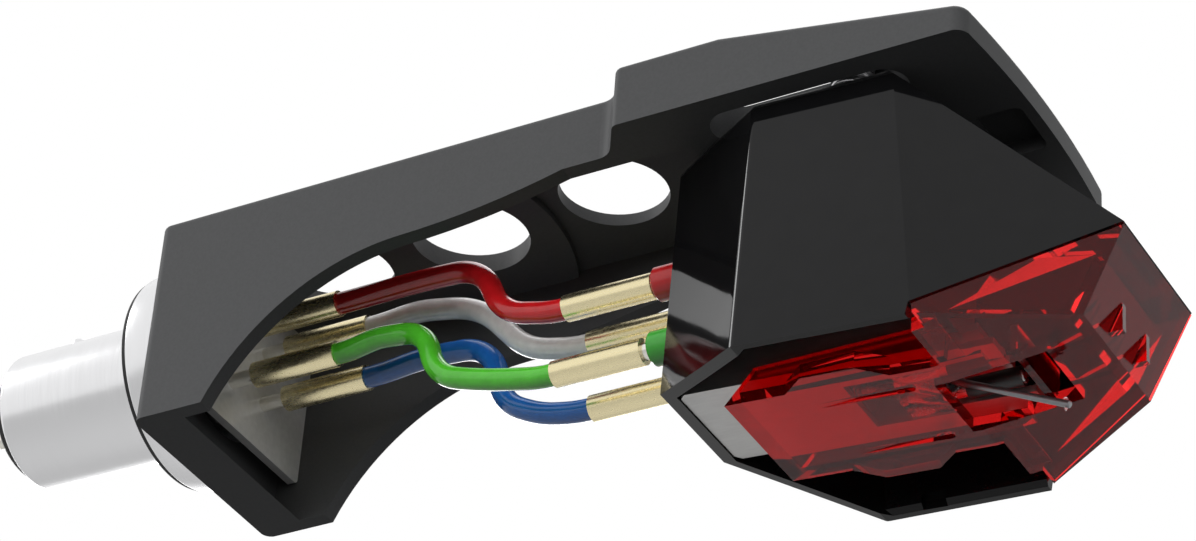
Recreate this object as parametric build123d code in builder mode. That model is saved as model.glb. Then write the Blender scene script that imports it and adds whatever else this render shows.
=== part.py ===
"""Moving-magnet turntable cartridge with its stylus, mounted on a removable headshell.

Units are millimetres. +X points to the front, where the stylus is, and +Z points up.
The origin is on the axis of the connector, at the rear face of its rubber washer,
which is the face that seats against the tonearm.
"""
import os
from math import cos, pi, radians, sin, tan

from build123d import *

os.makedirs("parts", exist_ok=True)

# Connector at the rear, which plugs into the tonearm
barrel_radius = 4.0
barrel_bore = 3.3
barrel_tail = -7.5  # x of the free end
barrel_end_fillet = 0.4
washer_radius = 5.45
washer_thickness = 0.55
flange_radius = 6.0
flange_front = 5.14  # x where the flange meets the headshell
insulator_tail = -7.85
locating_pin_radius = 0.6
locating_pin_x = -5.0
locating_pin_height = 1.1

# Contact pins, on a circle about the connector's axis
channels = ("white", "red", "green", "blue")
contact_circle = 2.25
contact_turn = 6  # degrees that the square of pins is turned
contact_radius = 0.45
contact_tail = -8.7

# Headshell
shell_half = 6.8  # half width of the channel
wall = 0.95
rear_face = flange_front
rear_wall = 0.95
shell_top = 6.15
shell_foot = -6.9
foot_length = 4.5
sill_length = 2.85
sill_rise = 1.9
rear_ceiling = 4.95
front_ceiling = 5.4
ceiling_step_x = 26.7
ceiling_step_radius = 12.5
arch_knee = (12.93, -2.58)
arch_mid = (21.5, 0.78)
arch_end_x = 31.5
mount_plane = 2.2  # underside of the hood, where the cartridge seats
hole_centres = (12.5, 21.6, 30.7)
hole_radii = (3.55, 3.35, 3.1)

# Hood, the wider front of the headshell
hood_half = 9.07
hood_rear = 34.37
hood_shoulder = 35.75
hood_corner = 55.85
hood_front = 56.42
channel_front = 38.7
slope_start = 41.8
slope_angle = 9.4
tray_rear = 39.6
tray_front = 53.0
tray_half = 8.35
tray_floor = 4.5
relief_half = 1.9
relief_rear = 52.9
relief_front = 55.77
relief_depth = 0.9

# Mounting screws, half an inch apart
screw_spacing = 12.7
screw_x = 48.4
screw_radius = 1.1
screw_head_radius = 1.75
screw_head_height = 1.5
screw_length = 6.2
slot_radius = 1.35
slot_rear = 41.65
slot_front = 50.2
washer_plate = 0.4

# Terminal plate inside the rear of the headshell
plate_front = 7.5
plate_thickness = 0.5
plate_bottom = -4.4

# Slip-on terminals and leads
terminal_length = 5.4
lead_radius = 0.62
terminal_sheet = 0.12
terminal_radius = lead_radius + terminal_sheet
pin_grip = 2.3
crimp_length = 2.9
crimp_bore = lead_radius
slit_width = 0.22
rear_terminal_x = plate_front + 1.6

# Cartridge pins, from the rear of the body
cartridge_pin_radius = 0.5
cartridge_pin_side = 1.77
cartridge_pin_heights = {"red": -3.05, "white": -3.05, "green": -7.15, "blue": -7.3}
cartridge_pin_tail = {"red": 32.45, "white": 32.0, "green": 32.05, "blue": 32.4}
cartridge_pin_front = 39.1
collar_radius = 0.95
collar_rear = 34.85
collar_front = 38.4
front_terminal_overlap = 2.3

# Cartridge body, a faceted shell that is open below
body_wall = 0.7
body_rear_wall = 0.88  # thicker, because it carries the pins
body_top = mount_plane
body_low = -14.5  # lower section of the tapered blank
can_half = 3.3  # half width of the generator can, which the rear face covers
top_rear = (37.22, can_half + 0.77)
top_shoulder = (43.4, 7.77)
low_rear = (36.33, can_half + 0.12)
low_shoulder = (43.42, 9.04)
flank_taper = 0.0253  # how fast the flanks close towards the front
blank_front = 66.0
brow = (51.3, 7.6, mount_plane - 0.4)  # where the flank, the front face and the cheek meet
cheek_low = (52.98, 8.75, -13.47)
snout = (62.43, 4.37, -8.58)
rim_rear = -11.46
rim_rear_x = 36.49
rim_shoulder = -13.7
rim_front = -14.2
rim_front_x = 52.85
cavity_ceiling = -1.8
top_fillet = 0.4
shoulder_fillet = 0.5
rim_bevel = 0.28  # on the inner edge of the rim
rim_notch = (45.75, 47.15)  # x range of the snap recess inside each flank
notch_wall = 0.45  # left outside the recess
notch_depth = 0.8
notch_height = 1.1
thread_depth = 3.8

# Generator can, fixed inside the body
can_rear = 37.4
can_lean = 0.0533  # the rear wall leans like the body's
can_front = 51.0
can_bottom = -11.65
underside_slope = 0.0612
can_sheet = 0.4
tongue_front = 55.0
window_rear = 46.2
window_half = 2.0
window_top = -10.5
shelf_front = 53.7  # a shelf folded forward above the window
shelf_half = 2.3

# Coils, pole pieces and the yoke that joins them
coil_radius = 1.2
coil_rear = 40.6
coil_front = 46.0
coil_side = 1.45
upper_coil = -7.4
lower_coil = -10.2
pole_radius = 0.4
pole_rear = 39.9
upper_pole_front = 48.9
pole_bend = 46.6
pole_drop_x = 49.5
pole_tip = (54.7, 1.35, -12.1)
sleeve_radius = 0.55
sleeve_rear = 51.6
sleeve_front = 54.6
yoke_rear = 39.3
yoke_half = 2.7
yoke_reach = 1.0

# Stylus holder, the clear part that slips on from below
holder_rear = 40.46
holder_low = -13.39
holder_gap = 0.15
holder_side_wall = 0.43
holder_side = can_half + holder_gap + holder_side_wall
holder_tab_side = holder_side + 1.16
holder_ridge_x = 52.0
nose_rear = 53.1
nose_front = 60.2
nose_bottom = -13.4
nose_half = 4.2
wing_x = 52.4
wing_gap = 0.75  # between the wings and the cheeks
wing_half = cheek_low[1] - body_wall - wing_gap
tab_foot = (43.9, 49.7)  # x range of a snap tab at the side, and at its outer edge
tab_head = (45.3, 48.3)
holder_slant = (42.0, -11.6)  # where the slanted rear end of the sides stops
nose_wall = 1.3
holder_top = -11.5
floor_thickness = 0.85
groove_side = 2.35
groove_width = 0.4
groove_depth = 0.12
groove_rear = 43.6
groove_front = 50.4
notch_rear = 51.41
notch_front = 57.45
notch_half = 2.3
bridge_x = (55.6, 56.0)  # a cross wall above the notch, ahead of the poles
bridge_reach = 0.3  # onto the floor at each side of the notch
bridge_heights = (-13.3, -11.4)
nose_rib_side = 1.5  # two ribs from the notch to the front wall
nose_rib_thickness = 0.4
nose_rib_front = 61.2
nose_rib_tops = (-12.6, -11.4)

# Cantilever and its suspension
cantilever_droop = 25.8  # degrees below the horizontal
pivot = (50.9, 0.0, -12.15)
cantilever_radius = 0.19
cantilever_bevel = 0.06
cantilever_tail = 1.5  # behind the pivot
cantilever_reach = 7.55  # ahead of the pivot
magnet_radius = 0.4
magnet_range = (-1.45, -0.45)  # along the cantilever, from the pivot
tube_radius = 0.8
tube_bore = 0.62
tube_range = (-2.6, 0.45)
plug_length = 0.4
damper_half = 0.3
running_gap = 0.03
damper_bore = 0.27
wire_radius = 0.06
wire_range = (-2.1, -1.55)
diamond_seat = 0.28  # from the cantilever's end
diamond_radius = 0.12
diamond_rise = 0.31
diamond_drop = 0.44
saddle_range = (48.8, 51.2)
saddle_half = 0.75


def contact_place(channel):
    """Side and height of a contact pin."""
    angle = radians(45 + contact_turn + 90 * channels.index(channel))
    return contact_circle * cos(angle), contact_circle * sin(angle)


def smooth_path(points):
    """A wire of straight runs joined by tangent arcs as large as the runs allow."""
    knots = [Vector(*point) for point in points]
    radii = []
    for index in range(1, len(knots) - 1):
        before = knots[index] - knots[index - 1]
        after = knots[index + 1] - knots[index]
        # The first and last arcs stay clear of the terminals
        limit = 1.8 if index in (1, len(knots) - 2) else 100
        run = min(before.length, after.length, limit)
        radii.append(0.45 * run / tan(radians(before.get_angle(after)) / 2))
    print("lead radii", [round(radius, 1) for radius in radii])
    return FilletPolyline(*knots, radius=radii)


def outward_plane(a, b, c, inside, inset=0.0):
    """The plane of a facet, with its normal away from a point inside the body."""
    a, b, c, inside = Vector(*a), Vector(*b), Vector(*c), Vector(*inside)
    normal = (b - a).cross(c - a).normalized()
    if normal.dot(inside - a) > 0:
        normal = normal * -1
    return Plane(origin=a - normal * inset, z_dir=normal)


def mirrored(point):
    return (point[0], -point[1], point[2])


def edge_near(part, point):
    return part.edges().sort_by_distance(Vector(*point))[0]


def save(part, name):
    part.label = name
    export_step(part, f"parts/{name}.step")


# Headshell
arch_start = (rear_face + foot_length, shell_foot)
arch_end = (arch_end_x, mount_plane)
with BuildPart() as headshell_frame:
    with BuildSketch(Plane.XZ):
        with BuildLine():
            foot = Line((rear_face, shell_foot), arch_start)
            rise = ThreePointArc(arch_start, arch_knee, arch_mid)
            run_out = TangentArc(arch_mid, arch_end, tangent=rise % 1)
            Polyline(
                run_out @ 1,
                (hood_shoulder, mount_plane),
                (hood_shoulder, shell_top),
                (rear_face, shell_top),
                foot @ 0,
            )
        make_face()
    extrude(amount=shell_half, both=True)
    # Hood in plan, with its slightly bowed front edge
    with BuildSketch(Plane.XY.offset(mount_plane)):
        with BuildLine():
            Polyline(
                (hood_corner, -hood_half),
                (hood_shoulder, -hood_half),
                (hood_rear, -shell_half),
                (hood_rear, shell_half),
                (hood_shoulder, hood_half),
                (hood_corner, hood_half),
            )
            ThreePointArc((hood_corner, hood_half), (hood_front, 0), (hood_corner, -hood_half))
        make_face()
    extrude(amount=shell_top - mount_plane)
    # The hood's top falls away to the front
    slope = Plane(origin=(slope_start, 0, shell_top), x_dir=(1, 0, 0), z_dir=(0, 0, 1))
    split(bisect_by=slope.rotated((0, slope_angle, 0)), keep=Keep.BOTTOM)
    # Rounded corners in plan: hollow at the step, round at the shoulders and ends
    for side in (-1, 1):
        fillet(edge_near(headshell_frame, (hood_rear, side * shell_half, shell_top - 1)), 1.2)
        fillet(edge_near(headshell_frame, (hood_shoulder, side * hood_half, shell_top - 1)), 0.5)
        fillet(edge_near(headshell_frame, (hood_corner, side * hood_half, 3)), 0.8)
        fillet(edge_near(headshell_frame, (rear_face, side * shell_half, 0)), 0.6)
    crown = headshell_frame.faces().filter_by(lambda face: face.normal_at().Z > 0.9)
    fillet(crown.edges().filter_by(lambda edge: edge.center().X < slope_start - 0.1
                                   or abs(edge.center().Y) > 1
                                   or edge.center().X > hood_corner), 0.35)
    # Channel, open below, with a sloped sill at the foot of the rear wall
    with BuildSketch(Plane.XZ):
        with BuildLine():
            sill = (rear_face + sill_length, shell_foot)
            back = (rear_face + rear_wall, shell_foot + sill_rise)
            Polyline(
                (sill[0], shell_foot - 1),
                sill,
                back,
                (back[0], rear_ceiling),
                (channel_front, rear_ceiling),
                (channel_front, shell_foot - 1),
                close=True,
            )
        make_face()
    extrude(amount=shell_half - wall, both=True, mode=Mode.SUBTRACT)
    # The ceiling is thinner ahead of a curved step
    with BuildSketch(Plane.XY.offset(rear_ceiling)) as thin_ceiling:
        with Locations(((ceiling_step_x + channel_front) / 2, 0)):
            Rectangle(channel_front - ceiling_step_x, 2 * (shell_half - wall))
        with Locations((ceiling_step_x, 0)):
            Rectangle(8, 2 * (shell_half - wall))
        with Locations((ceiling_step_x - ceiling_step_radius, 0)):
            Circle(ceiling_step_radius, mode=Mode.SUBTRACT)
    extrude(amount=front_ceiling - rear_ceiling, mode=Mode.SUBTRACT)
    # Lightening holes
    for centre, radius in zip(hole_centres, hole_radii):
        with BuildSketch(Plane.XY.offset(rear_ceiling - 1)):
            with Locations((centre, 0)):
                Circle(radius)
        extrude(amount=shell_top - rear_ceiling + 2, mode=Mode.SUBTRACT)
    # Tray on top for the screw heads, and the slots through its floor
    with BuildSketch(Plane.XY.offset(tray_floor)):
        with Locations(((tray_rear + tray_front) / 2, 0)):
            RectangleRounded(tray_front - tray_rear, 2 * tray_half, 1.2)
    extrude(amount=shell_top - tray_floor + 1, mode=Mode.SUBTRACT)
    with BuildSketch(Plane.XY.offset(mount_plane - 1)):
        for side in (-1, 1):
            with Locations(((slot_rear + slot_front) / 2, side * screw_spacing / 2)):
                SlotCenterToCenter(slot_front - slot_rear, 2 * slot_radius)
    extrude(amount=tray_floor - mount_plane + 2, mode=Mode.SUBTRACT)
    # Relief under the front lip
    with BuildSketch(Plane.XY.offset(mount_plane)):
        with Locations(((relief_rear + relief_front) / 2, 0)):
            RectangleRounded(relief_front - relief_rear, 2 * relief_half, 0.5)
    extrude(amount=relief_depth, mode=Mode.SUBTRACT)
    # Bore for the connector
    with BuildSketch(Plane.YZ.offset(rear_face - 1)):
        Circle(barrel_radius)
    extrude(amount=rear_wall + 2, mode=Mode.SUBTRACT)
save(headshell_frame.part, "headshell_frame")

# Connector: one turned piece, a barrel with a flange
barrel_front = rear_face + rear_wall
with BuildPart() as connector_barrel:
    with BuildSketch(Plane.XZ):
        with BuildLine():
            Polyline(
                (barrel_tail, barrel_bore),
                (barrel_front, barrel_bore),
                (barrel_front, barrel_radius),
                (flange_front, barrel_radius),
                (flange_front, flange_radius),
                (washer_thickness, flange_radius),
                (washer_thickness, barrel_radius),
                (barrel_tail, barrel_radius),
                close=True,
            )
        make_face()
    revolve(axis=Axis.X)
    fillet(edge_near(connector_barrel, (barrel_tail, barrel_radius, 0)), barrel_end_fillet)
    with BuildSketch(Plane.XY.offset(barrel_bore - 0.5)):
        with Locations((locating_pin_x, 0)):
            Circle(locating_pin_radius)
    extrude(amount=barrel_radius, mode=Mode.SUBTRACT)
save(connector_barrel.part, "connector_barrel")

with BuildPart() as locating_pin:
    with BuildSketch(Plane.XY.offset(barrel_bore)):
        with Locations((locating_pin_x, 0)):
            Circle(locating_pin_radius)
    extrude(amount=barrel_radius - barrel_bore + locating_pin_height)
    chamfer(locating_pin.edges().group_by(Axis.Z)[-1], 0.15)
save(locating_pin.part, "locating_pin")

with BuildPart() as rubber_washer:
    with BuildSketch(Plane.YZ):
        Circle(washer_radius)
        Circle(barrel_radius, mode=Mode.SUBTRACT)
    extrude(amount=washer_thickness)
save(rubber_washer.part, "rubber_washer")

plate_rear = plate_front - plate_thickness
with BuildPart() as end_insulator:
    with BuildSketch(Plane.YZ.offset(insulator_tail)):
        Circle(barrel_bore)
        for channel in channels:
            with Locations(contact_place(channel)):
                Circle(contact_radius, mode=Mode.SUBTRACT)
    extrude(amount=plate_rear - insulator_tail)
    chamfer(edge_near(end_insulator, (insulator_tail, 0, barrel_bore)), 0.15)
save(end_insulator.part, "end_insulator")

with BuildPart() as terminal_plate:
    plate_top = rear_ceiling
    with BuildSketch(Plane.YZ.offset(plate_rear)):
        with Locations((0, (plate_top + plate_bottom) / 2)):
            Rectangle(2 * (shell_half - wall), plate_top - plate_bottom)
        for channel in channels:
            with Locations(contact_place(channel)):
                Circle(contact_radius, mode=Mode.SUBTRACT)
    extrude(amount=plate_thickness)
    fillet(terminal_plate.edges().filter_by(Axis.X).group_by(Axis.Z)[0], 0.3)
save(terminal_plate.part, "terminal_plate")

for channel in channels:
    with BuildPart() as contact_pin:
        with BuildSketch(Plane.YZ.offset(contact_tail)):
            with Locations(contact_place(channel)):
                Circle(contact_radius)
        extrude(amount=rear_terminal_x + pin_grip - contact_tail)
        chamfer(contact_pin.edges().group_by(Axis.X)[0], 0.2)
    save(contact_pin.part, f"contact_pin_{channel}")


def slip_terminal(start, side, height, grip_first, pin_size):
    """A rolled sleeve: one half grips the pin, the other is crimped on the lead."""
    grip = terminal_length - crimp_length
    grip_start = start if grip_first else start + crimp_length
    crimp_start = start + grip if grip_first else start
    place = Plane(origin=(start, side, height), x_dir=(0, 1, 0), z_dir=(1, 0, 0))
    with BuildPart() as sleeve:
        with BuildSketch(place):
            Circle(terminal_radius)
        extrude(amount=terminal_length)
        with BuildSketch(place.offset(grip_start - start)):
            Circle(pin_size)
        extrude(amount=grip, mode=Mode.SUBTRACT)
        with BuildSketch(place.offset(crimp_start - start)):
            Circle(crimp_bore)
        extrude(amount=crimp_length, mode=Mode.SUBTRACT)
        with BuildSketch(place):
            with Locations((0, terminal_radius)):
                Rectangle(slit_width, terminal_radius * 1.2)
        extrude(amount=terminal_length, mode=Mode.SUBTRACT)
    return sleeve.part


# Leads: where each one runs between its two terminals
lead_turns = {
    "red": [(19.8, -1.56, 1.62), (23.6, -1.64, 1.35), (25.3, -1.72, -2.2)],
    "white": [(17.6, 1.52, 2.1), (21.6, 1.62, 1.35), (24.9, 1.72, -2.35)],
    "green": [(17.0, -1.5, -1.45), (20.3, -1.6, -1.9), (21.3, -1.66, -5.2), (24.6, -1.72, -6.35)],
    "blue": [(18.4, 1.56, -1.2), (22.6, 1.64, -1.5), (23.7, 1.68, -5.6), (26.2, 1.72, -6.9)],
}
for channel in channels:
    side, height = contact_place(channel)
    rear_terminal = slip_terminal(rear_terminal_x, side, height, True, contact_radius)
    save(rear_terminal, f"rear_terminal_{channel}")

    pin_side = cartridge_pin_side if side > 0 else -cartridge_pin_side
    pin_height = cartridge_pin_heights[channel]
    pin_tail = cartridge_pin_tail[channel]
    front_start = pin_tail + front_terminal_overlap - terminal_length
    front_terminal = slip_terminal(front_start, pin_side, pin_height, False, cartridge_pin_radius)
    save(front_terminal, f"front_terminal_{channel}")

    lead_start = rear_terminal_x + terminal_length - crimp_length
    lead_end = front_start + crimp_length
    route = [(lead_start, side, height), (rear_terminal_x + terminal_length + 0.9, side, height)]
    route += lead_turns[channel]
    route += [(front_start - 0.9, pin_side, pin_height), (lead_end, pin_side, pin_height)]
    with BuildPart() as lead:
        with BuildLine() as lead_path:
            smooth_path(route)
        with BuildSketch(Plane(origin=lead_path.line @ 0, z_dir=lead_path.line % 0)):
            Circle(lead_radius)
        sweep()
    run = sum(edge.length for edge in lead_path.edges())
    ratio = lead.part.volume / (run * pi * lead_radius**2)
    print(channel, "lead length", round(run, 2), "volume ratio", round(ratio, 4))
    save(lead.part, f"lead_{channel}")

    with BuildPart() as cartridge_pin:
        with BuildSketch(Plane.YZ.offset(pin_tail)):
            with Locations((pin_side, pin_height)):
                Circle(cartridge_pin_radius)
        extrude(amount=cartridge_pin_front - pin_tail)
        chamfer(cartridge_pin.edges().group_by(Axis.X)[0], 0.15)
    save(cartridge_pin.part, f"cartridge_pin_{channel}")

    with BuildPart() as pin_collar:
        with BuildSketch(Plane.YZ.offset(collar_rear)):
            with Locations((pin_side, pin_height)):
                Circle(collar_radius)
                Circle(cartridge_pin_radius, mode=Mode.SUBTRACT)
        extrude(amount=collar_front - collar_rear)
        chamfer(edge_near(pin_collar, (collar_rear, pin_side, pin_height + collar_radius)), 0.12)
    save(pin_collar.part, f"pin_collar_{channel}")

# Mounting screws with their washers
with BuildPart() as mounting_screws:
    head_seat = tray_floor + washer_plate
    for side in (-1, 1):
        with BuildSketch(Plane.XY.offset(head_seat - screw_length)):
            with Locations((screw_x, side * screw_spacing / 2)):
                Circle(screw_radius)
        extrude(amount=screw_length)
        with BuildSketch(Plane.XY.offset(head_seat)):
            with Locations((screw_x, side * screw_spacing / 2)):
                Circle(screw_head_radius)
        extrude(amount=screw_head_height)
        with BuildSketch(Plane.XY.offset(head_seat + screw_head_height)):
            with Locations((screw_x, side * screw_spacing / 2)):
                RegularPolygon(0.9, 6)
        extrude(amount=-0.9, mode=Mode.SUBTRACT)
    chamfer(mounting_screws.edges().filter_by(GeomType.CIRCLE).group_by(Axis.Z)[-1], 0.25)
save(mounting_screws.part, "mounting_screws")

with BuildPart() as screw_washers:
    with BuildSketch(Plane.XY.offset(tray_floor)):
        for side in (-1, 1):
            with Locations((screw_x, side * screw_spacing / 2)):
                Circle(screw_head_radius + 0.15)
                Circle(screw_radius, mode=Mode.SUBTRACT)
    extrude(amount=washer_plate)
save(screw_washers.part, "screw_washers")

# Cartridge body
body_middle = (48.0, 0.0, -6.0)


def tapered_blank(inset):
    """The rear and the two flanks of the body, as a taper between two outlines."""
    sections = []
    for height, rear, shoulder in ((body_top, top_rear, top_shoulder),
                                   (body_low, low_rear, low_shoulder)):
        front_side = shoulder[1] - flank_taper * (blank_front - shoulder[0])
        with BuildSketch(Plane.XY.offset(height)) as outline:
            with BuildLine():
                Polyline(
                    (rear[0], -rear[1]),
                    (shoulder[0], -shoulder[1]),
                    (blank_front, -front_side),
                    (blank_front, front_side),
                    shoulder,
                    rear,
                    close=True,
                )
            make_face()
            if inset > 0:
                offset(amount=-inset, kind=Kind.INTERSECTION)
        sections.append(outline.sketch)
    with BuildPart() as blank:
        loft(sections=sections, ruled=True)
        # Sloped front face and the two cheeks beside it
        front = outward_plane(brow, mirrored(brow), snout, body_middle, inset)
        split(bisect_by=front, keep=Keep.BOTTOM)
        for corner in (lambda point: point, mirrored):
            cheek = outward_plane(corner(brow), corner(cheek_low), corner(snout), body_middle, inset)
            split(bisect_by=cheek, keep=Keep.BOTTOM)
    return blank.part


with BuildPart() as cavity:
    add(tapered_blank(body_wall))
    low = (low_rear[0] + body_rear_wall, 0, body_low)
    high = (top_rear[0] + body_rear_wall, 0, body_top)
    split(bisect_by=outward_plane(low, (low[0], 1, low[2]), high, body_middle), keep=Keep.BOTTOM)
    split(bisect_by=Plane.XY.offset(cavity_ceiling), keep=Keep.BOTTOM)

with BuildPart() as body_shell:
    add(tapered_blank(0))
    # Rim, seen from the side
    with BuildSketch(Plane.XZ):
        with BuildLine():
            Polyline(
                (rim_rear_x - 3, rim_rear),
                (rim_rear_x, rim_rear),
                (low_shoulder[0], rim_shoulder),
                (rim_front_x, rim_front),
                (cheek_low[0], cheek_low[2]),
                (snout[0], snout[2]),
                (snout[0] + 8, snout[2]),
                (snout[0] + 8, -30),
                (rim_rear_x - 3, -30),
                close=True,
            )
        make_face()
    extrude(amount=20, both=True, mode=Mode.SUBTRACT)
    for side in (-1, 1):
        fillet(edge_near(body_shell, (43.41, side * 8.4, -6)), shoulder_fillet)
    top_face = body_shell.faces().sort_by(Axis.Z)[-1]
    fillet(top_face.edges(), top_fillet)
    # The inside is open below
    add(cavity.part, mode=Mode.SUBTRACT)
    for side in (-1, 1):
        inner_side = low_shoulder[1] - body_wall
        chamfer(edge_near(body_shell, (47.5, side * inner_side, rim_shoulder)), rim_bevel)
    # Holes for the pin collars and the screw threads, and the snap recesses
    for channel in channels:
        side = cartridge_pin_side if contact_place(channel)[0] > 0 else -cartridge_pin_side
        with BuildSketch(Plane.YZ.offset(collar_rear)):
            with Locations((side, cartridge_pin_heights[channel])):
                Circle(collar_radius)
        extrude(amount=6, mode=Mode.SUBTRACT)
    for side in (-1, 1):
        with BuildSketch(Plane.XY.offset(body_top)):
            with Locations((screw_x, side * screw_spacing / 2)):
                Circle(screw_radius)
        extrude(amount=-thread_depth, mode=Mode.SUBTRACT)
        notch_middle = sum(rim_notch) / 2
        notch_side = low_shoulder[1] - flank_taper * (notch_middle - low_shoulder[0]) - notch_wall
        with BuildSketch(Plane.XY.offset(rim_front)):
            with Locations((notch_middle, side * (notch_side - notch_depth / 2))):
                Rectangle(rim_notch[1] - rim_notch[0], notch_depth)
        extrude(amount=notch_height, mode=Mode.SUBTRACT)
save(body_shell.part, "body_shell")


def under_line(x):
    """Height of the can's underside."""
    return can_bottom - underside_slope * (x - can_rear)


# Generator can of folded sheet, closed above and open at the window
with BuildPart() as generator_can:
    lean = can_lean * (cavity_ceiling - can_bottom)
    with BuildSketch(Plane.XZ):
        with BuildLine():
            Polyline(
                (can_rear, can_bottom),
                (can_front, under_line(can_front)),
                (can_front, cavity_ceiling),
                (can_rear + lean, cavity_ceiling),
                close=True,
            )
        make_face()
    extrude(amount=can_half, both=True)
    for side in (-1, 1):
        chamfer(edge_near(generator_can, (can_rear + lean / 2, side * can_half, -7)), 0.35)
    with BuildSketch(Plane.XZ):
        with BuildLine():
            Polyline(
                (can_rear + can_sheet, can_bottom + can_sheet),
                (can_front - can_sheet, under_line(can_front) + can_sheet),
                (can_front - can_sheet, cavity_ceiling - can_sheet),
                (can_rear + lean + can_sheet, cavity_ceiling - can_sheet),
                close=True,
            )
        make_face()
    extrude(amount=can_half - can_sheet, both=True, mode=Mode.SUBTRACT)
    # Two tongues of the bottom sheet reach forward
    with BuildSketch(Plane.XZ):
        with BuildLine():
            Polyline(
                (can_front - 1, under_line(can_front - 1)),
                (tongue_front, under_line(tongue_front)),
                (tongue_front, under_line(tongue_front) + can_sheet),
                (can_front - 1, under_line(can_front - 1) + can_sheet),
                close=True,
            )
        make_face()
    extrude(amount=can_half, both=True)
    with BuildSketch(Plane.XY.offset(under_line(tongue_front) - 1)):
        with Locations(((window_rear + tongue_front + 1) / 2, 0)):
            Rectangle(tongue_front + 1 - window_rear, 2 * window_half)
    extrude(amount=window_top - under_line(tongue_front) + 1, mode=Mode.SUBTRACT)
    for channel in channels:
        side = cartridge_pin_side if contact_place(channel)[0] > 0 else -cartridge_pin_side
        with BuildSketch(Plane.YZ.offset(collar_rear)):
            with Locations((side, cartridge_pin_heights[channel])):
                Circle(collar_radius)
        extrude(amount=5, mode=Mode.SUBTRACT)
    # A shelf folded forward above the window
    with BuildSketch(Plane.XY.offset(window_top)):
        with Locations(((can_front + shelf_front) / 2 - can_sheet, 0)):
            Rectangle(shelf_front - can_front + 2 * can_sheet, 2 * shelf_half)
    extrude(amount=-can_sheet)
save(generator_can.part, "generator_can")

# Pole pieces: two straight above, two bent down to the window
with BuildPart() as pole_pieces:
    for side in (-1, 1):
        with BuildSketch(Plane.YZ.offset(pole_rear)):
            with Locations((side * coil_side, upper_coil)):
                Circle(pole_radius)
        extrude(amount=upper_pole_front - pole_rear)
        with BuildLine() as pole_path:
            FilletPolyline(
                (pole_rear, side * coil_side, lower_coil),
                (pole_bend, side * coil_side, lower_coil),
                (pole_drop_x, side * pole_tip[1], pole_tip[2]),
                (pole_tip[0], side * pole_tip[1], pole_tip[2]),
                radius=1.5,
            )
        with BuildSketch(Plane(origin=pole_path.line @ 0, z_dir=pole_path.line % 0)):
            Circle(pole_radius)
        sweep(path=pole_path.line)
save(pole_pieces.part, "pole_pieces")

with BuildPart() as pole_sleeves:
    for side in (-1, 1):
        with BuildSketch(Plane.YZ.offset(sleeve_rear)):
            with Locations((side * pole_tip[1], pole_tip[2])):
                Circle(sleeve_radius)
                Circle(pole_radius, mode=Mode.SUBTRACT)
        extrude(amount=sleeve_front - sleeve_rear)
save(pole_sleeves.part, "pole_sleeves")

with BuildPart() as coils:
    with BuildSketch(Plane.YZ.offset(coil_rear)):
        for side in (-1, 1):
            for height in (upper_coil, lower_coil):
                with Locations((side * coil_side, height)):
                    Circle(coil_radius)
                    Circle(pole_radius, mode=Mode.SUBTRACT)
    extrude(amount=coil_front - coil_rear)
save(coils.part, "coils")

with BuildPart() as yoke:
    with BuildSketch(Plane.YZ.offset(yoke_rear)):
        with Locations((0, (upper_coil + lower_coil) / 2)):
            Rectangle(2 * yoke_half, upper_coil - lower_coil + 2 * yoke_reach)
    extrude(amount=pole_rear - yoke_rear)
save(yoke.part, "yoke")


# Stylus holder
droop = radians(cantilever_droop)
cantilever_way = Vector(cos(droop), 0, -sin(droop))


def along(distance):
    """A plane across the cantilever's line, at a distance ahead of the pivot."""
    return Plane(origin=Vector(*pivot) + cantilever_way * distance, x_dir=(0, 1, 0), z_dir=cantilever_way)


def holder_under(x):
    """Height of the holder's underside behind its ridge."""
    return holder_low - underside_slope * (x - holder_rear)


ridge = (holder_ridge_x, holder_under(holder_ridge_x))
nose_middle = (57.0, 0.0, -12.0)
cut_drop = (snout[2] - cheek_low[2]) / (snout[0] - cheek_low[0])


def nose_blank(inset):
    """The nose between its cheeks, its front, the body's cut and the underside."""
    with BuildPart() as blank:
        with BuildSketch(Plane.XZ):
            with BuildLine():
                front_low = (nose_front, nose_bottom)
                front_high = (snout[0], snout[2] - holder_gap)
                lean = (front_high[0] - nose_front) / (front_high[1] - nose_bottom)
                rise = (nose_bottom - ridge[1]) / (nose_front - ridge[0])
                floor = floor_thickness if inset > 0 else 0
                top = 3 if inset > 0 else 0
                back = cut_drop * (snout[0] - nose_rear)
                Polyline(
                    (nose_rear, ridge[1] + rise * (nose_rear - ridge[0]) + floor),
                    (front_low[0] - inset * 1.1 + lean * floor, front_low[1] + floor),
                    (front_high[0] - inset * 1.1 + lean * top, front_high[1] + top),
                    (nose_rear, front_high[1] - back + top),
                    close=True,
                )
            make_face()
        extrude(amount=wing_half + 2, both=True)
        for corner in (lambda point: point, mirrored):
            low = (nose_front, nose_half, nose_bottom)
            cheek = outward_plane(corner(cheek_low), corner(low), corner(snout), nose_middle, inset)
            split(bisect_by=cheek, keep=Keep.BOTTOM)
    return blank.part


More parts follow.
